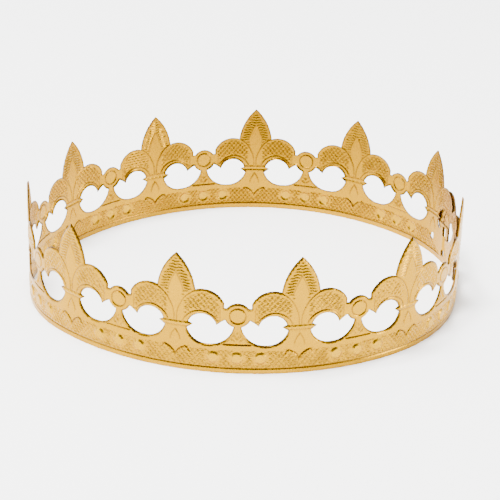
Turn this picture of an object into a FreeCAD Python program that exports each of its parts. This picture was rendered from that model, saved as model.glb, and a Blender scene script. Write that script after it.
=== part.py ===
import FreeCAD, Part

import math
import os

# Paper crown: one die-cut strip of card rolled into a ring, its tongue caught in its own slit.
# The strip is drawn flat, then each stretch of it is rolled onto the arc it lies on.

NODE = "crown_band"

SIZES = {
    # card and repeat
    "card_thick": 0.35,
    "layer_gap": 0.15,
    "repeat_pitch": 52.5,
    "repeat_count": 11,
    "pattern_shift": 4.5,
    # plan of the ring, outer face, arc by arc from the tucked end (radius mm, sweep degrees)
    # the whole plan is then scaled a little so that the repeats fill the ring
    "tuck_radius": 72.8,
    "tuck_heading": 131.35,
    "back_right_radius": 96.5,
    "back_right_sweep": 59.3,
    "back_left_radius": 111.1,
    "back_left_sweep": 59.65,
    "left_radius": 64.5,
    "left_sweep": 63.0,
    "front_sweep": 82.0,
    "corner_radius": 80.4,
    "corner_sweep": 41.2,
    "side_sweep": 17.55,
    # where the strip starts and where the first two arcs meet, from the first flower
    "tuck_start": -31.5,
    "tuck_finish": 19.0,
    # petal and lobes, from the axis of a flower and the bottom edge
    "petal_height": 53.5,
    "petal_bulge": 1.64,
    "shoulder_x": 8.2,
    "shoulder_z": 37.6,
    "lobe_bulge": 2.7,
    "lobe_end_z": 32.2,
    # disc between two flowers and the short link on each side of it
    "disc_z": 26.9,
    "disc_radius": 5.6,
    "link_rise": 3.2,
    "link_length": 1.15,
    # opening between a flower and its disc
    "stem_half": 1.6,
    "pocket_angle": 23.1,
    "barb_hollow": 0.175,
    "barb_from_disc": 8.85,
    "barb_z": 22.05,
    "arch_bulge": 4.6,
    "neck_top_x": 5.4,
    "neck_low_x": 4.85,
    "spike_z": 21.6,
    "spike_length": 1.9,
    "spike_rise": 0.9,
    "spike_fall": 1.8,
    "bowl_x": 14.1,
    "bowl_z": 13.0,
    "bowl_near_bulge": 2.1,
    "bowl_far_bulge": 2.55,
    # closure: slit, tongue and the two part openings beside it
    "slit_from_flower": 12.6,
    "slit_clearance": 0.2,
    "slit_over_neck": 4.2,
    "slit_under_neck": 2.9,
    "slit_bridge": 1.3,
    "lap_opening_x": 12.0,
    "tuck_opening_x": 16.0,
    "hole_from_flower": 0.5,
    "hole_z": 9.5,
    "hole_diameter": 3.2,
    "end_step_rise": 0.9,
    "end_past_flower": 0.5,
    "end_top_drop": 1.0,
    "neck_low_edge": 6.6,
    "neck_height": 7.3,
    "fold_radius": 1.7,
    "shoulder_step": 0.3,
    "head_overhang": 0.5,
    "head_length": 9.2,
    "tip_height": 6.8,
}

doc = FreeCAD.newDocument("paper_crown")
sheet = doc.addObject("Spreadsheet::Sheet", "sizes")
for row, name in enumerate(SIZES, start=1):
    sheet.set("A%d" % row, name)
    sheet.set("B%d" % row, str(SIZES[name]))
    sheet.setAlias("B%d" % row, name)
doc.recompute()


def size(name):
    """The value of one named cell, in mm, degrees or as a count."""
    return float(getattr(sheet, name))


THICK = size("card_thick")
PITCH = size("repeat_pitch")
COUNT = int(size("repeat_count"))
STEP = THICK + size("layer_gap")
NECK_LOW = size("neck_low_edge")
NECK_HIGH = NECK_LOW + size("neck_height")
SLIT_LOW = NECK_LOW - size("slit_under_neck")
SLIT_HIGH = NECK_HIGH + size("slit_over_neck")
TALL = size("petal_height") + 1
START_MARGIN = 0.1
AREA_POINTS = 5
FIT_ROUNDS = 12
TINY = 1e-4


def flat_point(along, height):
    """A point of the flat card: X runs along the strip, Y is the height."""
    return FreeCAD.Vector(along, height, 0)


def three_point_arc(first, middle, last):
    """An edge of the flat card through three (x, z) points."""
    return Part.Arc(flat_point(*first), flat_point(*middle), flat_point(*last)).toShape()


def bulged(first, last, bulge):
    """An arc of the flat card that stands a given height off its chord, to the left of it."""
    run = (last[0] - first[0], last[1] - first[1])
    length = math.hypot(run[0], run[1])
    middle = ((first[0] + last[0]) / 2 - bulge * run[1] / length,
              (first[1] + last[1]) / 2 + bulge * run[0] / length)
    return three_point_arc(first, middle, last)


def straight(first, last):
    """A straight edge of the flat card between two (x, z) points."""
    return Part.makeLine(flat_point(*first), flat_point(*last))


def half_top_edges():
    """Top outline from the tip of a flower out to the crest of the next disc."""
    disc_x = PITCH / 2
    disc_z = size("disc_z")
    radius = size("disc_radius")
    rise = size("link_rise")
    link_z = disc_z + rise
    meet_x = disc_x - math.sqrt(radius ** 2 - rise ** 2)
    lobe_end = (meet_x - size("link_length"), size("lobe_end_z"))
    bend = math.atan2(rise, meet_x - disc_x)
    half = (bend + math.pi / 2) / 2
    middle = (disc_x + radius * math.cos(half), disc_z + radius * math.sin(half))
    shoulder = (size("shoulder_x"), size("shoulder_z"))
    return [
        bulged((0, size("petal_height")), shoulder, size("petal_bulge")),
        bulged(shoulder, lobe_end, size("lobe_bulge")),
        straight(lobe_end, (lobe_end[0], link_z)),
        straight((lobe_end[0], link_z), (meet_x, link_z)),
        three_point_arc((meet_x, link_z), middle, (disc_x, disc_z + radius)),
    ]


def opening_face():
    """The opening on the right of a flower, as a face of the flat card."""
    disc_x = PITCH / 2
    disc_z = size("disc_z")
    radius = size("disc_radius")
    stem = size("stem_half")
    turn = math.pi + math.radians(size("pocket_angle"))
    stem_top = (disc_x - stem, disc_z - math.sqrt(radius ** 2 - stem ** 2))
    pocket = (disc_x + radius * math.cos(turn), disc_z + radius * math.sin(turn))
    stem_turn = 2 * math.pi + math.atan2(stem_top[1] - disc_z, stem_top[0] - disc_x)
    half = (turn + stem_turn) / 2
    middle = (disc_x + radius * math.cos(half), disc_z + radius * math.sin(half))
    barb = (disc_x - size("barb_from_disc"), size("barb_z"))
    spike = (size("neck_top_x") + size("spike_length"), size("spike_z"))
    neck_top = (size("neck_top_x"), size("spike_z") + size("spike_rise"))
    neck_low = (size("neck_low_x"), size("spike_z") - size("spike_fall"))
    bowl = (size("bowl_x"), size("bowl_z"))
    edges = [
        three_point_arc(stem_top, middle, pocket),
        bulged(pocket, barb, -size("barb_hollow")),
        bulged(barb, neck_top, -size("arch_bulge")),
        straight(neck_top, spike),
        straight(spike, neck_low),
        bulged(neck_low, bowl, -size("bowl_near_bulge")),
        bulged(bowl, stem_top, -size("bowl_far_bulge")),
    ]
    return Part.Face(Part.Wire(edges))


def mirrored(shape):
    """The same flat shape turned over about the axis of its flower."""
    return shape.mirror(FreeCAD.Vector(0, 0, 0), FreeCAD.Vector(1, 0, 0))


def moved(shape, along):
    """A copy of a flat shape moved along the strip."""
    copy = shape.copy()
    copy.translate(FreeCAD.Vector(along, 0, 0))
    return copy


def flat_box(along_from, along_to, low, high):
    """A rectangle of flat card."""
    corners = [(along_from, low), (along_to, low), (along_to, high), (along_from, high)]
    points = [flat_point(*corner) for corner in corners]
    return Part.Face(Part.makePolygon(points + points[:1]))


def flower_cell(index):
    """One whole repeat without its openings, from disc crest to disc crest."""
    right = half_top_edges()
    left = [mirrored(edge) for edge in right]
    reach = PITCH / 2
    crest = size("disc_z") + size("disc_radius")
    rim = [
        straight((-reach, crest), (-reach, 0)),
        straight((-reach, 0), (reach, 0)),
        straight((reach, 0), (reach, crest)),
    ]
    wire = Part.Wire(Part.__sortEdges__(left + rim + right))
    return moved(Part.Face(wire), index * PITCH)


def flat_strip(slit_middle, slit_wide, neck_end, band_end):
    """The die-cut strip before rolling, without its tongue."""
    cells = [flower_cell(index) for index in range(-1, COUNT + 1)]
    card = cells[0].multiFuse(cells[1:]).removeSplitter()
    last = COUNT * PITCH
    upper_end = last + size("end_past_flower")
    upper_low = SLIT_HIGH + size("end_step_rise")
    upper_high = size("shoulder_z") - size("end_top_drop")
    shoulder_at = last - size("shoulder_x")
    outline = flat_box(size("tuck_start"), band_end, 0, TALL)
    # the lapping end keeps its lobe, but its petal is cut off level
    outline = outline.multiFuse([
        flat_box(band_end, shoulder_at, upper_low, TALL),
        flat_box(shoulder_at, upper_end, upper_low, upper_high),
        flat_box(band_end, neck_end, NECK_LOW, NECK_HIGH),
    ])
    right = opening_face()
    left = mirrored(right)
    slit_card = flat_box(-size("tuck_opening_x"), 0, 0, SLIT_HIGH + size("slit_bridge"))
    far_box = flat_box(-PITCH, -size("lap_opening_x"), 0, TALL)
    windows = [moved(right, index * PITCH) for index in range(COUNT)]
    windows += [moved(left, index * PITCH) for index in range(1, COUNT)]
    windows.append(left.cut(slit_card))
    windows.append(moved(left.common(far_box), last))
    windows.append(flat_box(slit_middle - slit_wide / 2, slit_middle + slit_wide / 2, SLIT_LOW, SLIT_HIGH))
    centre = flat_point(-size("hole_from_flower"), size("hole_z"))
    round_hole = Part.makeCircle(size("hole_diameter") / 2, centre)
    windows.append(Part.Face(Part.Wire([round_hole])))
    return card.common(outline).removeSplitter().cut(Part.makeCompound(windows))


def card_loops(face):
    """Each wire of a flat face, outer first, as curves that follow one another."""
    loops = []
    for wire in face.Wires:
        curves = []
        for edge in wire.OrderedEdges:
            curves.append(edge.Curve.toBSpline(edge.FirstParameter, edge.LastParameter))
        if len(curves) > 1:
            reach = curves[1].StartPoint, curves[1].EndPoint
            if min(curves[0].StartPoint.distanceToPoint(point) for point in reach) < TINY:
                curves[0].reverse()
        for before, after in zip(curves, curves[1:]):
            if before.EndPoint.distanceToPoint(after.StartPoint) > TINY:
                after.reverse()
        loops.append((wire.isSame(face.OuterWire), curves))
    return sorted(loops, key=lambda pair: not pair[0])


def turned_loop(curves, wanted):
    """The curves with the sign of the area they enclose made the wanted one."""
    points = []
    for curve in curves:
        points += curve.discretize(AREA_POINTS)[:-1]
    area = 0.0
    for here, there in zip(points, points[1:] + points[:1]):
        area += here.x * there.y - here.y * there.x
    if (area > 0) == (wanted > 0):
        return curves
    for curve in curves:
        curve.reverse()
    return curves[::-1]


def surface_edge(curve, arc, lead, surface):
    """One edge on a surface from its curve on the flat card."""
    poles = []
    for pole in curve.getPoles():
        turn = lead + arc["sense"] * (pole.x - arc["from"]) / arc["radius"]
        poles.append(FreeCAD.Base.Vector2d(turn, pole.y))
    if len(poles) == 2:
        return Part.Geom2d.Line2dSegment(poles[0], poles[1]).toShape(surface)
    rolled = Part.Geom2d.BSplineCurve2d()
    rolled.buildFromPolesMultsKnots(poles, curve.getMultiplicities(), curve.getKnots(), False,
                                    curve.Degree, curve.getWeights())
    return rolled.toShape(surface)


def on_joint(curve, joints):
    """Whether a curve is one of the lines across which the strip runs on unbroken."""
    ends = curve.StartPoint.x, curve.EndPoint.x
    return any(max(abs(along - joint) for along in ends) < TINY for joint in joints)


def edge_wall(curve, outer_edge, inner_edge):
    """The cut edge of the card between its two skins, flat where the cut is level or upright."""
    start = curve.StartPoint
    end = curve.EndPoint
    if curve.Degree > 1 or min(abs(start.x - end.x), abs(start.y - end.y)) > TINY:
        return Part.makeRuledSurface(outer_edge, inner_edge)
    closing = []
    for index in (0, -1):
        closing.append(Part.makeLine(outer_edge.Vertexes[index].Point, inner_edge.Vertexes[index].Point))
    return Part.Face(Part.Wire(Part.__sortEdges__([outer_edge, inner_edge] + closing)))


def rolled_faces(flat, arc, joints):
    """Faces of the card where a flat stretch of it lies on one arc of the plan."""
    outer = Part.Cylinder()
    outer.Radius = arc["radius"]
    inner = Part.Cylinder()
    inner.Radius = arc["radius"] - arc["sense"] * THICK
    lead = START_MARGIN if arc["sense"] > 0 else START_MARGIN + arc["sweep"]
    faces = []
    for part in flat.Faces:
        skins = []
        for is_outer, loop in card_loops(part):
            curves = turned_loop(loop, arc["sense"] if is_outer else -arc["sense"])
            rims = []
            for surface in (outer, inner):
                rims.append([surface_edge(curve, arc, lead, surface) for curve in curves])
            wires = [Part.Wire(rim) for rim in rims]
            if is_outer:
                skins = [Part.Face(outer, wires[0]), Part.Face(inner, wires[1])]
            else:
                skins = [Part.Face(skin, wire) for skin, wire in zip(skins, wires)]
            for curve, outer_edge, inner_edge in zip(curves, rims[0], rims[1]):
                if not on_joint(curve, joints):
                    faces.append(edge_wall(curve, outer_edge, inner_edge))
        faces += skins
    turn = math.degrees(arc["angle"] - lead)
    for face in faces:
        face.rotate(FreeCAD.Vector(0, 0, 0), FreeCAD.Vector(0, 0, 1), turn)
        face.translate(FreeCAD.Vector(arc["centre"][0], arc["centre"][1], 0))
    return faces


def closing_radii(radii, angles):
    """The list of radii with its two gaps filled so that the strip closes on its own start.

    Each centre lies (radius before - radius after) from the last, along the normal they share.
    """
    unit = [(math.cos(angle), math.sin(angle)) for angle in angles]
    swing = [unit[0]]
    for before, after in zip(unit, unit[1:]):
        swing.append((after[0] - before[0], after[1] - before[1]))
    swing.append((-unit[-1][0], -unit[-1][1]))
    known = [sum(radius * step[axis] for radius, step in zip(radii, swing) if radius) for axis in (0, 1)]
    first, second = [index for index, radius in enumerate(radii) if not radius]
    one = swing[first]
    two = swing[second]
    determinant = one[0] * two[1] - one[1] * two[0]
    filled = list(radii)
    filled[first] = (two[0] * known[1] - two[1] * known[0]) / determinant
    filled[second] = (one[1] * known[0] - one[0] * known[1]) / determinant
    return filled


def plan_arcs(scale):
    """The arcs of the plan in the order the strip meets them, up to where it laps its start."""
    tuck = scale * size("tuck_radius")
    names = ("back_right", "back_left", "left", "front", "corner", "side")
    sweeps = [math.radians(size(name + "_sweep")) for name in names]
    angles = [math.radians(size("tuck_heading") - 90)]
    for sweep in sweeps:
        angles.append(angles[-1] + sweep)
    given = [tuck, scale * size("back_right_radius"), scale * size("back_left_radius"),
             scale * size("left_radius"), None, scale * size("corner_radius"), None, tuck + STEP]
    radii = closing_radii(given, angles)
    tuck_sweep = (size("tuck_finish") - size("tuck_start")) / tuck
    first = {"radius": tuck, "sense": 1, "sweep": tuck_sweep, "angle": angles[0] - tuck_sweep,
             "centre": (0.0, 0.0), "from": size("tuck_start")}
    arcs = [first]
    for radius, sweep in zip(radii[1:-1], sweeps):
        add_arc(arcs, radius, 1, sweep)
    return arcs


def strip_place(arcs, along):
    """Where the lapping layer passes a place of the tucked one: its angle and its own length."""
    tuck = arcs[0]
    side = arcs[-1]
    angle = tuck["angle"] + (along - tuck["from"]) / tuck["radius"] + 2 * math.pi
    lap_angle = side["angle"] + side["sweep"]
    lap_from = side["from"] + side["radius"] * side["sweep"]
    return angle, lap_from + (tuck["radius"] + STEP) * (angle - lap_angle)


def fitted_plan():
    """The plan scaled until the repeats and the shift between the layers fill the ring."""
    wanted = COUNT * PITCH + size("pattern_shift")
    scale = 1.0
    for attempt in range(FIT_ROUNDS):
        arcs = plan_arcs(scale)
        scale = scale * wanted / strip_place(arcs, 0.0)[1]
    return plan_arcs(scale)


def add_arc(arcs, radius, sense, sweep):
    """Put one more tangent arc on the end of the list."""
    last = arcs[-1]
    end_angle = last["angle"] + last["sense"] * last["sweep"]
    reach = last["radius"] - sense * last["sense"] * radius
    centre = (last["centre"][0] + reach * math.cos(end_angle),
              last["centre"][1] + reach * math.sin(end_angle))
    angle = end_angle if sense == last["sense"] else end_angle + math.pi
    arcs.append({"radius": radius, "sense": sense, "sweep": sweep, "angle": angle,
                 "centre": centre, "from": last["from"] + last["radius"] * last["sweep"]})


def fold_sweeps(lap, inside, first, second):
    """Sweeps of the two small bends that drop the tongue from one layer to the other."""
    near = lap - first
    far = inside + second
    reach = first + second
    at_ring = math.acos((near ** 2 + far ** 2 - reach ** 2) / (2 * near * far))
    at_first = math.pi - math.acos((near ** 2 + reach ** 2 - far ** 2) / (2 * near * reach))
    return at_first, at_first - at_ring, at_ring


arcs = fitted_plan()
tuck_radius = arcs[0]["radius"]
lap_radius = tuck_radius + STEP
inside_radius = tuck_radius - STEP
first_fold = size("fold_radius") + THICK / 2
second_fold = size("fold_radius") - THICK / 2
first_sweep, second_sweep, drop_angle = fold_sweeps(lap_radius, inside_radius, first_fold, second_fold)
slope = math.tan(first_sweep)
slit_wide = THICK / math.sin(first_sweep) + (THICK + 2 * size("layer_gap")) / slope
slit_wide += 2 * size("slit_clearance")

slit_at = -size("slit_from_flower")
slit_angle, slit_along = strip_place(arcs, slit_at)
# the slit is centred where the middle of the card, not its outer face, passes between the layers
middle_angle = first_fold / (first_fold + second_fold) * drop_angle
middle_angle -= THICK / 2 * math.sin(first_sweep) / lap_radius
neck_end = slit_along - lap_radius * middle_angle
band_end = neck_end - size("shoulder_step")
strip = flat_strip(slit_at, slit_wide, neck_end, band_end)

lap_from = arcs[-1]["from"] + arcs[-1]["radius"] * arcs[-1]["sweep"]
tongue = list(arcs)
lap_end = COUNT * PITCH + size("end_past_flower")
add_arc(arcs, lap_radius, 1, (lap_end - lap_from) / lap_radius)
joints = [arc["from"] for arc in arcs[1:]] + [neck_end]
faces = []
for arc in arcs:
    arc_end = arc["from"] + arc["radius"] * arc["sweep"]
    stretch = strip.common(flat_box(arc["from"], arc_end, -1, TALL))
    faces += rolled_faces(stretch, arc, joints)

add_arc(tongue, lap_radius, 1, (neck_end - lap_from) / lap_radius)
add_arc(tongue, first_fold, 1, first_sweep)
add_arc(tongue, second_fold, -1, second_sweep)
add_arc(tongue, inside_radius, 1, size("head_length") / inside_radius)
joints = [arc["from"] for arc in tongue[-3:]]
for arc in tongue[-3:-1]:
    arc_end = arc["from"] + arc["radius"] * arc["sweep"]
    faces += rolled_faces(flat_box(arc["from"], arc_end, NECK_LOW, NECK_HIGH), arc, joints)
head = tongue[-1]
base = head["from"]
shoulder = base + size("shoulder_step")
tip = base + size("head_length")
overhang = size("head_overhang")
tip_low = (NECK_LOW + NECK_HIGH - size("tip_height")) / 2
tip_high = tip_low + size("tip_height")
corners = [(base, NECK_LOW), (shoulder, NECK_LOW), (shoulder, SLIT_LOW - overhang), (tip, tip_low),
           (tip, tip_high), (shoulder, SLIT_HIGH + overhang), (shoulder, NECK_HIGH), (base, NECK_HIGH)]
points = [flat_point(*corner) for corner in corners]
faces += rolled_faces(Part.Face(Part.makePolygon(points + points[:1])), head, joints)

shell = Part.makeShell(faces)
shell.sewShape()
solid = Part.makeSolid(shell)
if solid.Volume < 0:
    solid.reverse()
box = solid.optimalBoundingBox(False, False)
middle = FreeCAD.Vector(box.Center.x, box.Center.y, 0)
solid.translate(-middle)

pattern = doc.addObject("Part::Feature", "flat_pattern")
pattern.Label = "flat_pattern"
pattern.Shape = strip
crown = doc.addObject("Part::Feature", NODE)
crown.Label = NODE
crown.Shape = solid
doc.recompute()

for item in (pattern, crown):
    if "Invalid" in item.State or "Error" in item.State:
        raise RuntimeError(item.Label + " did not build")
    if item.Shape.isNull() or not item.Shape.isValid():
        raise RuntimeError(item.Label + " has no sound shape")
if len(crown.Shape.Solids) != 1:
    raise RuntimeError("the crown is not one solid")

os.makedirs("parts", exist_ok=True)
crown.Shape.exportStep("parts/%s.step" % NODE)
box = crown.Shape.optimalBoundingBox(False, False)
print("volume mm3", round(crown.Shape.Volume, 1), "faces", len(crown.Shape.Faces))
print("size mm", round(box.XLength, 2), round(box.YLength, 2), round(box.ZLength, 2))
for arc in arcs:
    centre = [round(arc["centre"][0] - middle.x, 3), round(arc["centre"][1] - middle.y, 3)]
    print("arc", centre, round(arc["radius"], 3), round(math.degrees(arc["angle"]), 2),
          round(math.degrees(arc["sweep"]), 2), round(arc["from"], 3))
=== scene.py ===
"""Dresses the paper crown: its embossed gold foil card, the floor, the light and the camera.

The crown is one die-cut strip of foil card. Here it is drawn flat, as the die sees it, in
millimetres: X runs along the strip from the axis of its first flower, Y is the height and Z is the
relief. It is embossed, given its thickness, and then rolled onto the arcs of its plan.
"""

import logging
import math
from bisect import bisect_right
from dataclasses import dataclass, field
from enum import Enum
from typing import Any

import bmesh
import bpy
from mathutils import Matrix, Vector


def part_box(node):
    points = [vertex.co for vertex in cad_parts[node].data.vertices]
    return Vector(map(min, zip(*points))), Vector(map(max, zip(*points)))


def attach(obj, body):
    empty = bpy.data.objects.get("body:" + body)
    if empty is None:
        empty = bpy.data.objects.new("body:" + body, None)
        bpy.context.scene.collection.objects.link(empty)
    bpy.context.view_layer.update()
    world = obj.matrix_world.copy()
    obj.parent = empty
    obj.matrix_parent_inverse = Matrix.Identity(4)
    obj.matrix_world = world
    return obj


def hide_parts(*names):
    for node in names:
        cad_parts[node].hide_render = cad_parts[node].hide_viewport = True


Point = tuple[float, float]

MM = 0.001
NODE = "crown_band"
BODY = "root"
# In mm: a cut this near a point goes through it, points this near are one, and no face of the
# die's grid reaches further than this from its first point.
SNAP = 0.02
WELD = 0.002
REACH = 3.2
FIT_ROUNDS = 12

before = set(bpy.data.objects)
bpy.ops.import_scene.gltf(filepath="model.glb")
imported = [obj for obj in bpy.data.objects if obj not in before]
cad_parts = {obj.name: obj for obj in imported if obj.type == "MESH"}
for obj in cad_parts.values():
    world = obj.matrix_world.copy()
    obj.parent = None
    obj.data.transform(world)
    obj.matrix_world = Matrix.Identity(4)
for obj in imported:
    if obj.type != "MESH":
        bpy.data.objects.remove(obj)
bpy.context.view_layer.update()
logging.basicConfig(level=logging.INFO, format="%(message)s")
log = logging.getLogger("crown")


class Side(Enum):
    """Side of a flower's axis on which a half repeat lies."""

    RIGHT = 1
    LEFT = -1


class Pattern(Enum):
    """Figure stamped into a zone of the card."""

    HATCH = "hatch"
    DIAPER = "diaper"


def arc_points(start: Point, end: Point, bulge: float = 0.0, step: float = 1.0) -> list[Point]:
    """Points of an arc that stands a given height off its chord.

    Args:
        start: First point, which is left out of the result.
        end: Last point.
        bulge: Height of the arc off its chord, to the left of the way it runs.
        step: Rough distance between two points.

    Returns:
        The points in order, the last one included.
    """
    run = (end[0] - start[0], end[1] - start[1])
    chord = math.hypot(*run)
    if abs(bulge) < 1e-6:
        return [end]
    half = 2 * math.atan2(2 * bulge, chord)
    radius = chord / (2 * math.sin(half))
    count = max(2, round(abs(2 * half * radius) / step))
    points = []
    for index in range(1, count + 1):
        turn = half * (2 * index / count - 1)
        along = (chord / 2 + radius * math.sin(turn)) / chord
        off = radius * (math.cos(turn) - math.cos(half)) / chord
        points.append((start[0] + along * run[0] - off * run[1], start[1] + along * run[1] + off * run[0]))
    return points


def circle_points(centre: Point, radius: float, first: float, last: float, count: int) -> list[Point]:
    """Points on part of a circle.

    Args:
        centre: Middle of the circle.
        radius: Its radius.
        first: Angle of the first point, in radians.
        last: Angle of the last point, in radians.
        count: Number of steps between the two.

    Returns:
        The points, both ends included.
    """
    turns = [first + (last - first) * index / count for index in range(count + 1)]
    return [(centre[0] + radius * math.cos(turn), centre[1] + radius * math.sin(turn)) for turn in turns]


def chain(*parts: tuple[float, ...]) -> list[Point]:
    """A path of lines and arcs through given points.

    Args:
        parts: Each point's x and z, and the bulge of the arc that leads to it if it has one.

    Returns:
        The points in order, with those of the arcs between them.
    """
    path = [parts[0][:2]]
    for part in parts[1:]:
        path += arc_points(path[-1], part[:2], *part[2:])
    return path


def beside(path: list[Point], off: float) -> list[Point]:
    """A path that runs beside another.

    Args:
        path: Points of the other path.
        off: Distance between the two, positive to the left.

    Returns:
        As many points as the other path has.
    """
    line = []
    for index, (x, z) in enumerate(path):
        before = path[max(0, index - 1)]
        after = path[min(len(path) - 1, index + 1)]
        run = Vector((after[0] - before[0], after[1] - before[1])).normalized()
        line.append((x - off * run.y, z + off * run.x))
    return line


def distance_to_path(x: float, z: float, path: list[Point]) -> float:
    """Shortest distance from a place on the card to a path.

    Args:
        x: Place along the card.
        z: Height of the place.
        path: Points of the path.

    Returns:
        The distance, in mm.
    """
    best = math.inf
    for (ax, az), (bx, bz) in zip(path, path[1:]):
        run_x, run_z = bx - ax, bz - az
        share = ((x - ax) * run_x + (z - az) * run_z) / (run_x * run_x + run_z * run_z)
        share = min(1.0, max(0.0, share))
        best = min(best, math.hypot(x - ax - share * run_x, z - az - share * run_z))
    return best


def inside(x: float, z: float, loop: list[Point]) -> bool:
    """Whether a place on the card lies within a closed loop.

    Args:
        x: Place along the card.
        z: Height of the place.
        loop: Points of the loop.

    Returns:
        True if it lies inside.
    """
    found = False
    for (ax, az), (bx, bz) in zip(loop, loop[1:] + loop[:1]):
        if (az > z) != (bz > z) and x < ax + (z - az) / (bz - az) * (bx - ax):
            found = not found
    return found


def cut_plane(card: bmesh.types.BMesh, at: Point, normal: Point, clear: bool = False) -> None:
    """Cut the whole flat card along a straight line.

    Args:
        card: The card, still flat.
        at: A point of the line.
        normal: Direction at right angles to the line.
        clear: Whether the card on the normal's side is thrown away.
    """
    geometry = [*card.verts, *card.edges, *card.faces]
    bmesh.ops.bisect_plane(card, geom=geometry, dist=WELD, plane_co=(*at, 0), plane_no=(*normal, 0),
                           clear_outer=clear)


def score(card: bmesh.types.BMesh, path: list[Point]) -> None:
    """Cut only the faces that a path on the flat card passes through.

    Args:
        card: The card, still flat.
        path: Points of the path.
    """
    for start, end in zip(path, path[1:]):
        origin = Vector((*start, 0))
        unit = Vector((end[0] - start[0], end[1] - start[1], 0))
        length = unit.length
        unit /= length
        side = Vector((-unit.y, unit.x, 0))
        middle = origin + unit * length / 2
        crossed = []
        for face in card.faces:
            if (face.verts[0].co - middle).length > length / 2 + REACH:
                continue
            marks = [((v.co - origin).dot(side), (v.co - origin).dot(unit)) for v in face.verts]
            spots = [along for off, along in marks if abs(off) <= SNAP]
            for (off, along), (next_off, next_along) in zip(marks, marks[1:] + marks[:1]):
                if off * next_off < 0:
                    spots.append(along + (next_along - along) * off / (off - next_off))
            if len(spots) > 1 and max(spots) > SNAP and min(spots) < length - SNAP:
                crossed.append(face)
        verts = dict.fromkeys(vert for face in crossed for vert in face.verts)
        edges = dict.fromkeys(edge for face in crossed for edge in face.edges)
        bmesh.ops.bisect_plane(card, geom=[*verts, *edges, *crossed], dist=SNAP, plane_co=origin,
                               plane_no=side)


@dataclass
class Bend:
    """One arc of the plan, seen from above, in mm and radians."""

    centre: Point
    radius: float
    angle: float
    sweep: float
    start: float
    sense: int = 1

    @property
    def finish(self) -> float:
        """Length along the strip at which the arc ends."""
        return self.start + self.radius * self.sweep

    def point(self, along: float, offset: float) -> Point:
        """Place on the plan of a point of the strip.

        Args:
            along: Length along the strip.
            offset: Distance off the outer face, positive outwards.

        Returns:
            X and Y on the plan.
        """
        turn = self.angle + self.sense * (along - self.start) / self.radius
        radius = self.radius + self.sense * offset
        return self.centre[0] + radius * math.cos(turn), self.centre[1] + radius * math.sin(turn)

    def then(self, radius: float, sweep: float, sense: int = 1) -> "Bend":
        """The arc that follows this one without a kink.

        Args:
            radius: Radius of the new arc.
            sweep: Angle that it turns through.
            sense: 1 if it turns the way of the ring, -1 if it turns back.

        Returns:
            The new arc.
        """
        end = self.angle + self.sense * self.sweep
        reach = self.radius - sense * self.sense * radius
        centre = (self.centre[0] + reach * math.cos(end), self.centre[1] + reach * math.sin(end))
        return Bend(centre, radius, end if sense == self.sense else end + math.pi, sweep, self.finish, sense)


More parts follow.
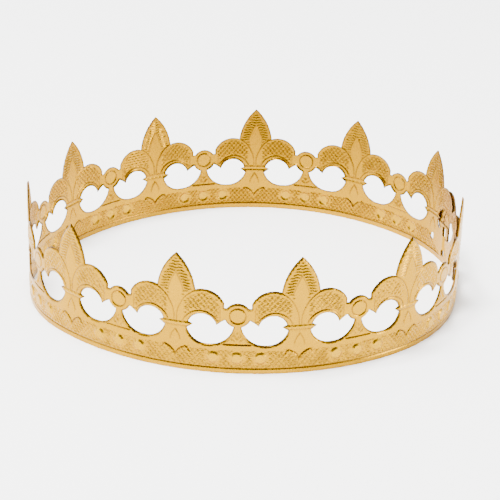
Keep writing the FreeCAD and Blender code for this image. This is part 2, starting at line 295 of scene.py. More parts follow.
@dataclass
class CrownPlan:
    """Plan of the ring and of its closure, from the same driving sizes as the CAD part (mm, degrees)."""

    thickness: float = 0.35
    layer_gap: float = 0.15
    pitch: float = 52.5
    repeats: int = 11
    pattern_shift: float = 4.5
    tuck_radius: float = 72.8
    tuck_heading: float = 131.35
    tuck_start: float = -31.5
    tuck_finish: float = 19.0
    radii: tuple[float | None, ...] = (96.5, 111.1, 64.5, None, 80.4, None)
    sweeps: tuple[float, ...] = (59.3, 59.65, 63.0, 82.0, 41.2, 17.55)
    slit_middle: float = -12.6
    slit_clearance: float = 0.2
    slit_low: float = 3.7
    slit_high: float = 18.1
    neck_low: float = 6.6
    neck_high: float = 13.9
    fold_radius: float = 1.7
    shoulder_step: float = 0.3
    head_overhang: float = 0.5
    head_length: float = 9.2
    tip_height: float = 6.8
    upper_past_flower: float = 0.5
    upper_low: float = 19.0
    upper_drop: float = 1.0
    ring: list[Bend] = field(init=False)
    tongue: list[Bend] = field(init=False)
    shift: Point = field(init=False, default=(0.0, 0.0))
    neck_end: float = field(init=False, default=0.0)
    slit_width: float = field(init=False, default=0.0)

    def __post_init__(self) -> None:
        """Work out the arcs of the ring and of the tongue, and centre them on the CAD part."""
        self.ring = self._fitted_ring()
        tuck = self.ring[0].radius
        self._add_lap()
        self._add_tongue(tuck + self.step, tuck - self.step)
        low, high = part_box(NODE)
        steps = range(2 * round(self.tuck_start), 2 * round(self.strip_end))
        places = [self._on_plan(index / 2, 0, 0) for index in steps]
        middle = [(min(axis) + max(axis)) / 2 for axis in zip(*places)]
        self.shift = ((low.x + high.x) / 2 / MM - middle[0], (low.y + high.y) / 2 / MM - middle[1])

    @property
    def step(self) -> float:
        """Distance from the face of one layer to the same face of the next."""
        return self.thickness + self.layer_gap

    @property
    def strip_end(self) -> float:
        """Length along the strip of the last flower's axis."""
        return self.pitch * self.repeats

    @property
    def lap_start(self) -> float:
        """Length along the strip at which it begins to lap its own start."""
        return self.strip_end + self.pattern_shift + self.tuck_start

    def _closed_ring(self, scale: float) -> list[Bend]:
        """Arcs of the ring with the two free radii set so that it closes.

        Args:
            scale: Factor on every given radius.

        Returns:
            The arcs, from the tucked end on.
        """
        tuck = scale * self.tuck_radius
        turns = [math.radians(sweep) for sweep in self.sweeps]
        angles = [math.radians(self.tuck_heading - 90)]
        for turn in turns:
            angles.append(angles[-1] + turn)
        radii = [tuck, *[radius and scale * radius for radius in self.radii], tuck + self.step]
        units = [Vector((math.cos(angle), math.sin(angle))) for angle in angles]
        swings = [units[0], *[after - before for before, after in zip(units, units[1:])], -units[-1]]
        known = sum((swing * radius for swing, radius in zip(swings, radii) if radius), Vector((0, 0)))
        one, two = [index for index, radius in enumerate(radii) if not radius]
        determinant = swings[one].cross(swings[two])
        radii[one] = swings[two].cross(known) / determinant
        radii[two] = -swings[one].cross(known) / determinant
        sweep = (self.tuck_finish - self.tuck_start) / tuck
        arcs = [Bend((0.0, 0.0), tuck, angles[0] - sweep, sweep, self.tuck_start)]
        for radius, turn in zip(radii[1:-1], turns):
            arcs.append(arcs[-1].then(radius, turn))
        return arcs

    def _passing(self, arcs: list[Bend], along: float) -> float:
        """Where the lapping layer passes a place of the tucked one.

        Args:
            arcs: Arcs of the ring, without the lap.
            along: Length along the strip of the place.

        Returns:
            Length along the strip of the lapping layer there.
        """
        angle = arcs[0].angle + (along - arcs[0].start) / arcs[0].radius + math.tau
        lap_angle = arcs[-1].angle + arcs[-1].sweep
        return arcs[-1].finish + (arcs[0].radius + self.step) * (angle - lap_angle)

    def _fitted_ring(self) -> list[Bend]:
        """The ring scaled until its repeats and the shift between its layers fill it.

        Returns:
            The arcs, from the tucked end on.
        """
        scale = 1.0
        for _ in range(FIT_ROUNDS):
            arcs = self._closed_ring(scale)
            scale *= (self.strip_end + self.pattern_shift) / self._passing(arcs, 0.0)
        return self._closed_ring(scale)

    def _add_lap(self) -> None:
        """Add the arc on which the strip laps its own start."""
        radius = self.ring[0].radius + self.step
        self.ring.append(self.ring[-1].then(radius, (self.strip_end - self.ring[-1].finish) / radius))

    def _add_tongue(self, lap: float, within: float) -> None:
        """Work out the tongue, which drops through the slit in two small bends.

        Args:
            lap: Radius of the lapping layer.
            within: Radius of the tongue's head, inside the tucked layer.
        """
        first = self.fold_radius + self.thickness / 2
        second = self.fold_radius - self.thickness / 2
        near, far, reach = lap - first, within + second, first + second
        drop = math.acos((near**2 + far**2 - reach**2) / (2 * near * far))
        sweep = math.pi - math.acos((near**2 + reach**2 - far**2) / (2 * near * reach))
        middle = first / reach * drop - self.thickness / 2 * math.sin(sweep) / lap
        self.neck_end = self._passing(self.ring[:-1], self.slit_middle) - lap * middle
        self.slit_width = self.thickness / math.sin(sweep) + 2 * self.slit_clearance
        self.slit_width += (self.thickness + 2 * self.layer_gap) / math.tan(sweep)
        body = self.ring[-2]
        self.tongue = [body.then(lap, (self.neck_end - body.finish) / lap)]
        self.tongue.append(self.tongue[-1].then(first, sweep))
        self.tongue.append(self.tongue[-1].then(second, sweep - drop, -1))
        self.tongue.append(self.tongue[-1].then(within, self.head_length / within))

    def _on_plan(self, along: float, height: float, offset: float) -> Point:
        """Place on the plan of a point of the strip, before the plan is centred.

        Args:
            along: Length along the strip.
            height: Height of the point, which tells the tongue from the card above it.
            offset: Distance off the outer face, positive outwards.

        Returns:
            X and Y, in mm.
        """
        on_tongue = along > self.neck_end and height < self.upper_low - WELD
        arcs = self.tongue if on_tongue else self.ring
        index = bisect_right([arc.start for arc in arcs], along) - 1
        return arcs[max(0, index)].point(along, offset)

    def rolled(self, place: Vector) -> Vector:
        """Where a point of the flat card lies on the crown.

        Args:
            place: Length along the strip, height and relief, in mm.

        Returns:
            The point in metres, in the frame of the CAD part.
        """
        x, y = self._on_plan(*place)
        return Vector((x + self.shift[0], y + self.shift[1], place.y)) * MM


@dataclass(frozen=True)
class Groove:
    """A line pressed into the card."""

    path: list[Point]
    depth: float = 0.22
    half_width: float = 0.5
    on_rows: bool = False

    def pressed(self, x: float, z: float, level: float) -> float:
        """Relief of a place once the line has been pressed into it.

        Args:
            x: Place along the card.
            z: Height of the place.
            level: Relief before the line.

        Returns:
            The relief after it, in mm.
        """
        share = min(1.0, distance_to_path(x, z, self.path) / self.half_width)
        return level * share - self.depth * (1 - share)

    def banks(self) -> list[list[Point]]:
        """The bottom of the line and its two edges, as paths."""
        return [self.path, *[beside(self.path, off) for off in (-self.half_width, self.half_width)]]


@dataclass(frozen=True)
class Zone:
    """A part of the card stamped with one figure, plain within any hole it has."""

    loop: list[Point]
    pattern: Pattern
    height: float
    holes: tuple[list[Point], ...] = ()
    fade: float = 0.35

    def share(self, x: float, z: float) -> float:
        """How fully the figure shows at a place.

        Args:
            x: Place along the card.
            z: Height of the place.

        Returns:
            0 outside the zone, and up to 1 well within it.
        """
        if not inside(x, z, self.loop) or any(inside(x, z, hole) for hole in self.holes):
            return 0.0
        rims = [self.loop, *self.holes]
        nearest = min(distance_to_path(x, z, rim + rim[:1]) for rim in rims)
        return min(1.0, nearest / self.fade)


@dataclass
class FlowerDie:
    """The cutting and embossing die of half a repeat, from a flower's axis to the next disc's (mm)."""

    pitch: float = 52.5
    petal_height: float = 53.5
    petal_bulge: float = 1.64
    shoulder: Point = (8.2, 37.6)
    lobe_bulge: float = 2.7
    lobe_end_z: float = 32.2
    disc_z: float = 26.9
    disc_radius: float = 5.6
    ring_radius: float = 3.46
    link_rise: float = 3.2
    link_length: float = 1.15
    stem_half: float = 1.6
    pocket_angle: float = 23.1
    barb_hollow: float = 0.175
    barb_from_disc: float = 8.85
    barb_z: float = 22.05
    arch_bulge: float = 4.6
    neck_top: Point = (5.4, 22.5)
    neck_low: Point = (4.85, 19.8)
    spike: Point = (7.3, 21.6)
    bowl: Point = (14.1, 13.0)
    bowl_near_bulge: float = 2.1
    bowl_far_bulge: float = 2.55
    columns: int = 24
    row: float = 0.65
    border_z: float = 2.4
    band_top: float = 11.4
    tie_low: float = 20.6
    tie_high: float = 22.55
    boss_z: float = 7.35
    boss_radius: float = 2.9
    boss_height: float = 0.65
    boss_from_disc: float = 9.95
    boss_flank: float = 0.9
    boss_gap: float = 0.45
    disc_rise: float = 0.1
    disc_inset: float = 0.4
    cord_half_length: float = 5.0
    cord_height: float = 0.09
    cord_beads: float = 0.07
    wave_height: float = 0.25
    wave_length: float = 3.3
    wave_lean: float = 0.5
    rim_width: float = 0.85
    rim_drop: float = 0.55
    join_distance: float = 0.09

    @property
    def disc_x(self) -> float:
        """Place of the disc's axis from the flower's."""
        return self.pitch / 2

    @property
    def column(self) -> float:
        """Distance between two columns of the die's grid."""
        return self.disc_x / self.columns

    def top(self) -> list[Point]:
        """Top outline of the half repeat.

        Returns:
            Points from the tip of the flower out to the crest of the disc.
        """
        centre = (self.disc_x, self.disc_z)
        meet_x = self.disc_x - math.sqrt(self.disc_radius**2 - self.link_rise**2)
        link_z = self.disc_z + self.link_rise
        lobe_end = (meet_x - self.link_length, self.lobe_end_z)
        bend = math.atan2(self.link_rise, meet_x - self.disc_x)
        path = chain((0.0, self.petal_height), (*self.shoulder, self.petal_bulge),
                     (*lobe_end, self.lobe_bulge), (lobe_end[0], link_z))
        return path + circle_points(centre, self.disc_radius, bend, math.pi / 2, 6)

    def opening(self) -> list[Point]:
        """Outline of the opening between the flower and the disc.

        Returns:
            Points of the closed outline, round from the top of the disc's stem.
        """
        centre = (self.disc_x, self.disc_z)
        drop = math.sqrt(self.disc_radius**2 - self.stem_half**2)
        first = math.tau + math.atan2(-drop, -self.stem_half)
        last = math.pi + math.radians(self.pocket_angle)
        path = circle_points(centre, self.disc_radius, first, last, 5)
        stem_top = path[0]
        barb = (self.disc_x - self.barb_from_disc, self.barb_z)
        path += arc_points(path[-1], barb, -self.barb_hollow)
        path += arc_points(barb, self.neck_top, -self.arch_bulge)
        path += [self.spike, self.neck_low]
        path += arc_points(self.neck_low, self.bowl, -self.bowl_near_bulge)
        path += arc_points(self.bowl, stem_top, -self.bowl_far_bulge)
        return path[:-1]

    def rows(self) -> list[float]:
        """Heights of the die's grid, close together wherever a figure is stamped.

        Returns:
            The heights, from the bottom edge up.
        """
        heights = [self.border_z / 2, self.border_z - self.row * 0.8]
        fine = round((self.band_top - self.border_z) / self.row)
        heights += [self.border_z + self.row * index for index in range(fine + 1)]
        coarse = 2 * self.row
        while heights[-1] + coarse < self.tie_low:
            heights.append(heights[-1] + coarse)
        upper = math.ceil((self.petal_height - self.tie_low) / self.row)
        return heights + [self.tie_low + self.row * index for index in range(upper)]

    def boss_centres(self) -> list[Point]:
        """Middles of the bosses of the half repeat."""
        return [(self.disc_x - self.boss_from_disc, self.boss_z), (self.disc_x, self.boss_z)]

    def spear(self) -> list[Point]:
        """Outline of half the spearhead in the petal, from its apex to its base."""
        return chain((0.0, 45.0), (3.25, 36.9, 0.35))

    def grooves(self) -> list[Groove]:
        """Every line pressed into the half repeat, as drawn on the die.

        Returns:
            The lines.
        """
        centre = (self.disc_x, self.disc_z)
        return [
            Groove(chain((8.0, 37.4), (2.2, 31.0, -0.75), (0.6, 22.9, -0.6))),
            Groove(self.spear(), 0.18),
            Groove(chain((3.3, 23.3), (11.2, 28.6, 1.5), (17.6, 24.5, 0.95)), 0.25),
            Groove(chain((17.6, 24.5), (18.9, 24.4), (18.9, 30.0)), 0.18),
            Groove(chain((0.0, 18.8), (2.2, 14.1, 0.3))),
            Groove(chain((5.7, 9.7), (4.4, 11.0, -0.3), (0.0, 6.9, -0.7)), 0.35),
            Groove(chain((20.4, 13.5), (self.disc_x, 13.5)), 0.35),
            Groove(chain((21.6, 14.9), (25.5, 20.2, -0.5)), 0.15),
            Groove(circle_points(centre, self.ring_radius, math.pi / 2, 3 * math.pi / 2, 10), 0.25),
            Groove(chain((0.0, self.border_z), (self.disc_x, self.border_z)), 0.25, on_rows=True),
            Groove(chain((0.0, self.tie_low), (5.4, self.tie_low)), 0.15, on_rows=True),
            Groove(chain((0.0, self.tie_high), (5.0, self.tie_high)), 0.15, on_rows=True),
        ]

    def zones(self) -> list[Zone]:
        """Every zone of the half repeat that is stamped with a figure.

        Returns:
            The zones.
        """
        reach = self.disc_x + 1
        petal = chain((-1.0, 51.6), (0.0, 51.6), (6.9, 37.4, 1.35), (3.4, 34.0, -0.4), (-1.0, 34.0))
        spear = self.spear() + [(2.7, 33.9), (-1.0, 33.9), (-1.0, 45.0)]
        lobe = chain((8.6, 36.4), (19.2, 31.2, 2.45), (18.4, 25.1), (17.4, 25.2), (11.2, 29.2, -0.95),
                     (4.3, 25.6, -1.4), (3.1, 30.4, 0.2), (8.6, 36.4, 0.9))[:-1]
        band = [(-1.0, 2.9), (reach, 2.9), (reach, self.band_top), (-1.0, self.band_top)]
        brace = [(-1.0, 7.4), (0.0, 7.4), (4.4, 11.6), (-1.0, 11.6)]
        spandrel = [(22.0, 14.3), (reach, 14.3), (reach, 20.0), (25.9, 20.0)]
        bosses = [circle_points(middle, self.boss_radius + self.boss_gap, 0, math.tau, 12)[:-1]
                  for middle in self.boss_centres()]
        return [
            Zone(petal, Pattern.HATCH, 0.11, (spear,)),
            Zone(lobe, Pattern.DIAPER, 0.18),
            Zone(band, Pattern.DIAPER, 0.18, (brace, *bosses)),
            Zone(spandrel, Pattern.DIAPER, 0.16),
        ]

    def figure(self, pattern: Pattern, x: float, z: float) -> float:
        """Height of a figure at a place.

        Args:
            pattern: The figure.
            x: Place along the card.
            z: Height of the place on the card.

        Returns:
            A share of the figure's full height, from -1 to 1.
        """
        level = (z - self.border_z) / self.row
        if pattern is Pattern.HATCH:
            return math.cos(math.pi * level)
        return math.cos(math.pi * x / self.column) * math.cos(math.pi * level / 2)

    def raised(self, x: float, z: float) -> float:
        """Relief of the bosses, the disc and the tie's cord.

        Args:
            x: Place along the card.
            z: Height of the place on the card.

        Returns:
            How far the place stands out, in mm.
        """
        for middle in self.boss_centres():
            within = self.boss_radius - math.hypot(x - middle[0], z - middle[1])
            if within > 0:
                return self.boss_height * min(1.0, within / self.boss_flank)
        if math.hypot(x - self.disc_x, z - self.disc_z) < self.ring_radius - self.disc_inset:
            return self.disc_rise
        if x < self.cord_half_length and self.tie_low < z < self.tie_high:
            half = (self.tie_high - self.tie_low) / 2
            crown = 1 - ((z - self.tie_low) / half - 1) ** 2
            return crown * (self.cord_height + self.cord_beads * math.cos(math.pi * x / self.column))
        return 0.0

    def flat(self, loops: list[list[Point]]) -> bmesh.types.BMesh:
        """A flat piece of card cut to its loops and to the die's grid.

        Args:
            loops: Outline and holes, each a closed loop of points.

        Returns:
            The card, as a mesh whose faces look up.
        """
        card = bmesh.new()
        for loop in loops:
            verts = [card.verts.new((x, z, 0)) for x, z in loop]
            for here, there in zip(verts, verts[1:] + verts[:1]):
                card.edges.new((here, there))
        bmesh.ops.triangle_fill(card, use_beauty=True, edges=card.edges[:], normal=(0, 0, 1))
        for index in range(1, self.columns):
            cut_plane(card, (index * self.column, 0), (1, 0))
        for height in self.rows():
            cut_plane(card, (0, height), (0, 1))
        slanted = []
        for edge in card.edges:
            run = edge.verts[0].co - edge.verts[1].co
            if len(edge.link_faces) == 2 and min(abs(run.x), abs(run.y)) > WELD:
                slanted.append(edge)
        bmesh.ops.dissolve_edges(card, edges=slanted, use_verts=False)
        loose = [vert for vert in card.verts if len(vert.link_edges) == 2 and not vert.is_boundary]
        bmesh.ops.dissolve_verts(card, verts=loose)
        for face in card.faces:
            face.normal_update()
            if face.normal.z < 0:
                face.normal_flip()
        return card

    def half_repeat(self) -> bmesh.types.BMesh:
        """Half a repeat, cut and embossed.

        Returns:
            The card as an open sheet, with its relief along Z.
        """
        outline = [(0.0, 0.0), (self.disc_x, 0.0), *reversed(self.top())]
        card = self.flat([outline, self.opening()])
        grooves = self.grooves()
        for groove in grooves:
            if not groove.on_rows:
                for path in groove.banks():
                    score(card, path)
        for middle in self.boss_centres():
            for radius in (self.boss_radius, self.boss_radius - self.boss_flank):
                score(card, circle_points(middle, radius, 0, math.tau, 12))
        rims = [self.top(), self.opening() + self.opening()[:1]]
        for rim in rims:
            score(card, beside(rim, -self.rim_width))
        self._tidy(card)
        zones = self.zones()
        for vert in card.verts:
            x, z = vert.co.x, vert.co.y
            level = self.raised(x, z)
            for zone in zones:
                share = zone.share(x, z)
                if share:
                    level += share * zone.height * self.figure(zone.pattern, x, z)
                    if zone.pattern is Pattern.HATCH:
                        swing = math.sin(math.tau * x / self.wave_length + z * self.wave_lean)
                        vert.co.y += share * self.wave_height * swing
            for groove in grooves:
                level = groove.pressed(x, z, level)
            edge = min(distance_to_path(x, z, rim) for rim in rims) / self.rim_width
            if edge < 1:
                level = level * edge - self.rim_drop * (1 - edge) ** 2
            vert.co.z = level
        return card

    def _tidy(self, card: bmesh.types.BMesh) -> None:
        """Join points that lie almost on each other.

        Args:
            card: The card, whose edges stay where they are.
        """
        fixed = [vert for vert in card.verts if vert.is_boundary]
        free = [vert for vert in card.verts if not vert.is_boundary]
        found = bmesh.ops.find_doubles(card, verts=free + fixed, keep_verts=fixed,
                                       dist=self.join_distance)
        bmesh.ops.weld_verts(card, targetmap=found["targetmap"])
        bmesh.ops.dissolve_degenerate(card, edges=card.edges[:], dist=WELD)


@dataclass
class EmbossedBand:
    """The crown itself: one strip of embossed foil card, rolled up, its tongue in its slit.

    An edge that bends by more than the crease is shaded sharp, and faces that bend by less than
    the level are joined (degrees).
    """

    plan: CrownPlan
    die: FlowerDie
    name: str = "embossed_crown_band"
    slit_bridge: float = 1.3
    lap_opening_x: float = 12.0
    tuck_opening_x: float = 16.0
    hole_from_flower: float = 0.5
    hole_z: float = 9.5
    hole_diameter: float = 3.2
    pressed_share: float = 0.35
    pressed_from: float = 9.5
    pressed_fade: float = 3.0
    tongue_margin: float = 2.0
    uv_length: float = 100.0
    fold_columns: int = 5
    crease: float = 9.0
    level: float = 0.15

    def _stamp(self, strip: bmesh.types.BMesh, part: bpy.types.Mesh, along: float, side: Side) -> None:
        """Add a copy of a part of the die to the strip.

        Args:
            strip: The strip that is being put together.
            part: Flat mesh drawn on the right of a flower's axis.
            along: Place of the flower's axis along the strip.
            side: Side of the axis on which the copy lies.
        """
        verts = len(strip.verts)
        faces = len(strip.faces)
        strip.from_mesh(part)
        strip.verts.ensure_lookup_table()
        strip.faces.ensure_lookup_table()
        place = Matrix.Translation((along, 0, 0)) @ Matrix.Diagonal((side.value, 1, 1, 1))
        bmesh.ops.transform(strip, matrix=place, verts=strip.verts[verts:])
        if side is Side.LEFT:
            bmesh.ops.reverse_faces(strip, faces=strip.faces[faces:])

    def _plug(self, *limits: tuple[Point, Point]) -> bpy.types.Mesh:
        """The card that would fall out of an opening, or part of it.

        Args:
            limits: Points and normals, beyond which the card is thrown away.

        Returns:
            A flat mesh that fits the opening of the half repeat.
        """
        card = self.die.flat([self.die.opening()])
        for at, normal in limits:
            cut_plane(card, at, normal, clear=True)
        mesh = bpy.data.meshes.new("opening_plug")
        card.to_mesh(mesh)
        card.free()
        return mesh

    def _trim(self, strip: bmesh.types.BMesh, loop: list[Point]) -> None:
        """Cut a closed loop out of the strip and throw away the card inside it.

        Args:
            strip: The strip, still flat.
            loop: Points of the loop.
        """
        score(strip, loop + loop[:1])
        waste = []
        for face in strip.faces:
            middle = face.calc_center_median()
            if inside(middle.x, middle.y, loop):
                waste.append(face)
        bmesh.ops.delete(strip, geom=waste, context="FACES")

    def _end_waste(self) -> list[Point]:
        """Outline of the card that the die throws away around the tongue.

        Returns:
            Points of the closed outline, round from below the band's end.
        """
        plan = self.plan
        base = plan.tongue[-1].start
        shoulder = base + plan.shoulder_step
        tip = base + plan.head_length
        band_end = plan.neck_end - plan.shoulder_step
        tip_low = (plan.neck_low + plan.neck_high - plan.tip_height) / 2
        upper = plan.strip_end + plan.upper_past_flower
        shoulder_x, shoulder_z = self.die.shoulder
        upper_high = shoulder_z - plan.upper_drop
        far = plan.strip_end + plan.pitch
        tall = self.die.petal_height + 1
        return [
            (band_end, -1.0), (band_end, plan.neck_low), (shoulder, plan.neck_low),
            (shoulder, plan.slit_low - plan.head_overhang), (tip, tip_low),
            (tip, tip_low + plan.tip_height), (shoulder, plan.slit_high + plan.head_overhang),
            (shoulder, plan.neck_high), (band_end, plan.neck_high), (band_end, plan.upper_low),
            (upper, plan.upper_low), (upper, upper_high), (plan.strip_end - shoulder_x, upper_high),
            (plan.strip_end - shoulder_x, tall), (far, tall), (far, -1.0),
        ]

    def _flat_strip(self) -> bmesh.types.BMesh:
        """The whole die-cut and embossed strip, tongue included.

        Returns:
            An open sheet, still flat and without thickness.
        """
        plan = self.plan
        half = bpy.data.meshes.new("half_repeat")
        card = self.die.half_repeat()
        card.to_mesh(half)
        card.free()
        slit_card = self._plug(((0, plan.slit_high + self.slit_bridge), (0, 1)),
                               ((self.tuck_opening_x, 0), (1, 0)))
        end_card = self._plug(((self.lap_opening_x, 0), (1, 0)))
        whole_plug = self._plug()
        strip = bmesh.new()
        for index in range(plan.repeats + 1):
            self._stamp(strip, half, index * plan.pitch, Side.RIGHT)
            self._stamp(strip, half, index * plan.pitch, Side.LEFT)
        self._stamp(strip, half, -plan.pitch, Side.RIGHT)
        self._stamp(strip, whole_plug, -plan.pitch, Side.RIGHT)
        self._stamp(strip, slit_card, 0, Side.LEFT)
        self._stamp(strip, end_card, plan.strip_end, Side.LEFT)
        self._stamp(strip, whole_plug, plan.strip_end, Side.RIGHT)
        bmesh.ops.remove_doubles(strip, verts=strip.verts[:], dist=WELD)
        cut_plane(strip, (plan.tuck_start, 0), (-1, 0), clear=True)
        cut_plane(strip, (plan.strip_end + plan.head_length, 0), (1, 0), clear=True)
        self._trim(strip, self._end_waste())
        near = plan.slit_middle - plan.slit_width / 2
        far = plan.slit_middle + plan.slit_width / 2
        self._trim(strip, [(near, plan.slit_low), (far, plan.slit_low), (far, plan.slit_high),
                           (near, plan.slit_high)])
        centre = (-self.hole_from_flower, self.hole_z)
        self._trim(strip, circle_points(centre, self.hole_diameter / 2, 0, math.tau, 16)[:-1])
        for bend in plan.tongue[1:3]:
            for index in range(self.fold_columns + 1):
                along = bend.start + (bend.finish - bend.start) * index / self.fold_columns
                score(strip, [(along, plan.neck_low), (along, plan.neck_high)])
        return strip

    def _soften(self, strip: bmesh.types.BMesh) -> None:
        """Press the relief flatter where the strip laps itself, and flat on the tongue.

        Args:
            strip: The strip, still flat.
        """
        plan = self.plan
        base = plan.neck_end - self.tongue_margin
        for vert in strip.verts:
            near = max(0.0, min(1.0, (vert.co.x + self.pressed_from) / self.pressed_fade))
            far = max(0.0, min(1.0, (plan.lap_start - vert.co.x) / self.pressed_fade))
            vert.co.z *= self.pressed_share + (1 - self.pressed_share) * min(near, far)
            if vert.co.x > base and vert.co.y < plan.upper_low - WELD:
                vert.co.z = 0.0

    def build(self, finish: "FoilFinish") -> bpy.types.Object:
        """Build the crown and dress it.

        Args:
            finish: Finish of the foil card.

        Returns:
            The finished piece.
        """
        strip = self._flat_strip()
        self._soften(strip)
        relief = strip.verts.layers.float.new("relief")
        for vert in strip.verts:
            vert[relief] = vert.co.z
        grown = bmesh.ops.extrude_face_region(strip, geom=strip.faces[:], use_keep_orig=True)
        moved = [item for item in grown["geom"] if isinstance(item, bmesh.types.BMVert)]
        bmesh.ops.translate(strip, verts=moved, vec=(0, 0, -self.plan.thickness))
        bmesh.ops.recalc_face_normals(strip, faces=strip.faces[:])
        cut_edge = strip.faces.layers.float.new("cut_edge")
        flat_map = strip.loops.layers.uv.new("strip")
        for face in strip.faces:
            wall = abs(face.normal.z) < 0.5
            face[cut_edge] = 1.0 if wall else 0.0
            face.smooth = True
            for corner in face.loops:
                corner[flat_map].uv = corner.vert.co.xy / self.uv_length
        bmesh.ops.triangulate(strip, faces=strip.faces[:])
        for vert in strip.verts:
            vert.co = self.plan.rolled(vert.co)
        verts = [vert for vert in strip.verts if not any(face[cut_edge] for face in vert.link_faces)]
        edges = [edge for edge in strip.edges if not any(face[cut_edge] for face in edge.link_faces)]
        bmesh.ops.dissolve_limit(strip, angle_limit=math.radians(self.level), verts=verts, edges=edges)
        bmesh.ops.triangulate(strip, faces=strip.faces[:])
        strip.normal_update()
        for edge in strip.edges:
            edge.smooth = edge.calc_face_angle(math.pi) < math.radians(self.crease)
        mesh = bpy.data.meshes.new(self.name)
        strip.to_mesh(mesh)
        strip.free()
        piece = bpy.data.objects.new(self.name, mesh)
        bpy.context.scene.collection.objects.link(piece)
        mesh.materials.append(finish.material())
        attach(piece, BODY)
        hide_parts(NODE)
        log.info("%s: %d triangles", self.name, len(mesh.polygons))
        return piece


def linear(colour: str) -> tuple[float, float, float, float]:
    """Linear colour from an sRGB hex value such as "#E3BF74"."""
    parts = [int(colour[index:index + 2], 16) / 255 for index in (1, 3, 5)]
    return (*[part / 12.92 if part <= 0.04045 else ((part + 0.055) / 1.055) ** 2.4 for part in parts], 1.0)


def add_node(tree: bpy.types.NodeTree, kind: str, inputs: dict[Any, Any] | None = None,
             **settings: Any) -> bpy.types.Node:
    """Add a node to a material, set it up and link it.

    Args:
        tree: Node tree that gets the node.
        kind: Blender's name for the kind of node.
        inputs: Value or output socket for each input, by the input's name or number.
        settings: Properties of the node itself.

    Returns:
        The new node.
    """
    node = tree.nodes.new(kind)
    for name, value in settings.items():
        setattr(node, name, value)
    for name, value in (inputs or {}).items():
        if isinstance(value, bpy.types.NodeSocket):
            tree.links.new(value, node.inputs[name])
        else:
            node.inputs[name].default_value = value
    return node


def blend(tree: bpy.types.NodeTree, share: bpy.types.NodeSocket, first: Any,
          second: str) -> bpy.types.NodeSocket:
    """Add a mix of two colours to a material.

    Args:
        tree: Node tree that gets the mix.
        share: Socket that gives the second colour's share.
        first: Value or socket of the first colour.
        second: Second colour, as an sRGB hex value.

    Returns:
        The socket of the mixed colour.
    """
    mix = add_node(tree, "ShaderNodeMix", {0: share, 6: first, 7: linear(second)}, data_type="RGBA")
    return mix.outputs[2]


def new_material(name: str) -> tuple[bpy.types.Material, bpy.types.NodeTree]:
    """An empty node material.

    Args:
        name: Name of the material.

    Returns:
        The material and its node tree.
    """
    material = bpy.data.materials.new(name)
    material.use_nodes = True
    material.node_tree.nodes.clear()
    return material, material.node_tree


@dataclass(frozen=True)
class FoilFinish:
    """Gold foil laminated on card, die-cut and embossed.

    The foil is a metal mirror made soft by the card's grain. Painted shade darkens its lines, its pressed
    rims and its far upper part, a painted highlight lightens its high places, and the die leaves a thin
    brown edge where the card shows. Lengths are in mm.
    """

    name: str = "gold_foil_on_embossed_card"
    gold: str = "#B68700"
    deep_gold: str = "#A47700"
    # Painted highlight: paler gold laid on the raised relief.
    painted_highlight_gold: str = "#C2981C"
    # Painted shade: dark gold laid into the grooves and the pressed rims.
    painted_shade_gold: str = "#5E3E04"
    # Painted shade: deeper gold on the upper part of the far side of the ring.
    far_painted_shade_gold: str = "#946A00"
    cut_card: str = "#4C3210"
    painted_shade_far_mm: float = 85.0
    painted_shade_low_mm: float = 2.0
    painted_shade_high_mm: float = 42.0
    least_roughness: float = 0.2
    most_roughness: float = 0.36
    painted_highlight_relief: Point = (0.02, 0.3)
    painted_highlight_share: float = 0.3
    painted_shade_relief: Point = (-0.03, -0.3)
    painted_shade_share: float = 0.85
    grain_mm: float = 0.7
    grain_depth_mm: float = 0.08
    grain_strength: float = 0.6
    blush_mm: float = 14.0

    def material(self) -> bpy.types.Material:
        """Make the node material of the foil card.

        Returns:
            The material.
        """
        material, tree = new_material(self.name)
        place = add_node(tree, "ShaderNodeTexCoord").outputs["Object"]
        relief = add_node(tree, "ShaderNodeAttribute", attribute_name="relief").outputs["Fac"]
        wall = add_node(tree, "ShaderNodeAttribute", attribute_name="cut_edge").outputs["Fac"]
        blush = add_node(tree, "ShaderNodeTexNoise",
                         {"Vector": place, "Scale": 1 / (self.blush_mm * MM), "Detail": 3.0})
        grain = add_node(tree, "ShaderNodeTexNoise",
                         {"Vector": place, "Scale": 1 / (self.grain_mm * MM), "Detail": 2.0})
        tone = blend(tree, blush.outputs["Fac"], linear(self.gold), self.deep_gold)
        where = add_node(tree, "ShaderNodeSeparateXYZ", {0: place}).outputs
        # Painted shade: the far side of the ring turns a deeper gold towards its top.
        far = add_node(tree, "ShaderNodeMapRange", {"Value": where["Y"], "From Max": self.painted_shade_far_mm * MM})
        upper = add_node(tree, "ShaderNodeMapRange", {
            "Value": where["Z"], "From Min": self.painted_shade_low_mm * MM, "From Max": self.painted_shade_high_mm * MM,
            "To Max": far.outputs[0]})
        tone = blend(tree, upper.outputs[0], tone, self.far_painted_shade_gold)
        # Painted highlight on the raised relief, and painted shade in the grooves and pressed rims.
        for (start, end), share, colour in ((self.painted_highlight_relief, self.painted_highlight_share, self.painted_highlight_gold),
                                            (self.painted_shade_relief, self.painted_shade_share, self.painted_shade_gold)):
            reached = add_node(tree, "ShaderNodeMapRange", {
                "Value": relief, "From Min": start, "From Max": end, "To Max": share})
            tone = blend(tree, reached.outputs[0], tone, colour)
        tone = blend(tree, wall, tone, self.cut_card)
        sheen = add_node(tree, "ShaderNodeMapRange", {
            "Value": grain.outputs["Fac"], "To Min": self.least_roughness, "To Max": self.most_roughness})
        bump = add_node(tree, "ShaderNodeBump", {
            "Height": grain.outputs["Fac"], "Strength": self.grain_strength,
            "Distance": self.grain_depth_mm * MM})
        shader = add_node(tree, "ShaderNodeBsdfPrincipled", {
            "Base Color": tone, "Metallic": 1.0, "Roughness": sheen.outputs[0],
            "Normal": bump.outputs["Normal"]})
        add_node(tree, "ShaderNodeOutputMaterial", {"Surface": shader.outputs[0]})
        return material


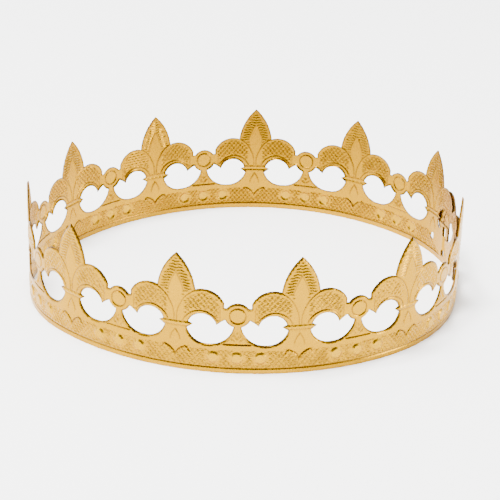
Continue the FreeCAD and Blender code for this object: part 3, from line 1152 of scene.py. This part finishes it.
@dataclass(frozen=True)
class FloorFinish:
    """Matt white sweep paper, which gives soft shadows and no reflection."""

    name: str = "white_sweep_paper"
    white: str = "#F7F7F6"

    def material(self) -> bpy.types.Material:
        """Make the node material of the floor.

        Returns:
            The material.
        """
        material, tree = new_material(self.name)
        place = add_node(tree, "ShaderNodeTexCoord").outputs["Object"]
        fibre = add_node(tree, "ShaderNodeTexNoise", {"Vector": place, "Scale": 900.0, "Detail": 2.0})
        bump = add_node(tree, "ShaderNodeBump", {"Height": fibre.outputs["Fac"], "Strength": 0.05,
                                                 "Distance": 0.05 * MM})
        shader = add_node(tree, "ShaderNodeBsdfPrincipled", {
            "Base Color": linear(self.white), "Roughness": 0.9, "Normal": bump.outputs["Normal"]})
        add_node(tree, "ShaderNodeOutputMaterial", {"Surface": shader.outputs[0]})
        return material


@dataclass(frozen=True)
class Softbox:
    """One large soft light that looks at the crown."""

    name: str
    place: tuple[float, float, float]
    width: float
    power: float

    def build(self) -> None:
        """Add the light to the scene."""
        light = bpy.data.lights.new(self.name, "AREA")
        light.shape = "SQUARE"
        light.size = self.width
        light.energy = self.power
        lamp = bpy.data.objects.new(self.name, light)
        lamp.location = self.place
        lamp.rotation_euler = (-Vector(self.place)).to_track_quat("-Z", "Y").to_euler()
        bpy.context.scene.collection.objects.link(lamp)


@dataclass
class Studio:
    """Floor, soft light and camera around the crown (metres and degrees).

    The dark part of the room is a patch round one direction, from its edge to its heart, given as
    cosines.
    """

    floor_half: float = 4.0
    camera_place: tuple[float, float, float] = (0.0013, -0.6986, 0.3450)
    pitch: float = 25.189
    yaw: float = -0.062
    roll: float = 1.794
    lens: float = 120.35
    sensor: float = 36.0
    pale_room: str = "#E8E9EC"
    dark_room: str = "#5A5652"
    dark_toward: tuple[float, float, float] = (0.05, -0.8, 0.6)
    dark_edge: float = 0.5
    dark_heart: float = 0.8
    room_strength: float = 2.4
    lights: tuple[Softbox, ...] = (
        Softbox("key_softbox", (-0.35, -0.2, 2.1), 0.9, 220.0),
        Softbox("left_softbox", (-1.8, -0.3, 1.2), 1.2, 30.0),
        Softbox("right_softbox", (1.9, -0.7, 0.45), 0.6, 24.0),
    )

    def build(self) -> None:
        """Add the floor, the lights and the camera to the scene."""
        card = bmesh.new()
        bmesh.ops.create_grid(card, x_segments=1, y_segments=1, size=self.floor_half)
        mesh = bpy.data.meshes.new("floor")
        card.to_mesh(mesh)
        card.free()
        mesh.materials.append(FloorFinish().material())
        floor = bpy.data.objects.new("floor", mesh)
        bpy.context.scene.collection.objects.link(floor)
        for light in self.lights:
            light.build()
        self._sky()
        self._camera()
        log.info("studio: %d lights", len(self.lights))

    def _sky(self) -> None:
        """Surround the scene with a pale room that is dim behind the camera."""
        world = bpy.data.worlds.new("pale_room")
        world.use_nodes = True
        tree = world.node_tree
        tree.nodes.clear()
        place = add_node(tree, "ShaderNodeTexCoord").outputs["Generated"]
        toward = add_node(tree, "ShaderNodeVectorMath", {0: place, 1: self.dark_toward},
                          operation="DOT_PRODUCT").outputs["Value"]
        share = add_node(tree, "ShaderNodeMapRange", {
            "Value": toward, "From Min": self.dark_edge, "From Max": self.dark_heart}).outputs[0]
        tone = blend(tree, share, linear(self.pale_room), self.dark_room)
        glow = add_node(tree, "ShaderNodeBackground", {"Color": tone, "Strength": self.room_strength})
        add_node(tree, "ShaderNodeOutputWorld", {"Surface": glow.outputs[0]})
        bpy.context.scene.world = world

    def _camera(self) -> None:
        """Set up the camera at the photograph's viewing angle."""
        lens = bpy.data.cameras.new("camera")
        lens.sensor_width = self.sensor
        lens.lens = self.lens
        lens.clip_end = 20.0
        lens.dof.use_dof = False
        camera = bpy.data.objects.new("camera", lens)
        turn = Matrix.Rotation(math.radians(self.yaw), 3, "Z")
        tilt = Matrix.Rotation(math.radians(90 - self.pitch), 3, "X")
        roll = Matrix.Rotation(math.radians(self.roll), 3, "Z")
        camera.rotation_euler = (turn @ tilt @ roll).to_euler()
        camera.location = self.camera_place
        bpy.context.scene.collection.objects.link(camera)
        bpy.context.scene.camera = camera


def main() -> None:
    """Build the crown, then its studio."""
    plan = CrownPlan()
    crown = EmbossedBand(plan, FlowerDie(pitch=plan.pitch))
    crown.build(FoilFinish())
    Studio().build()


if __name__ == "__main__":
    main()
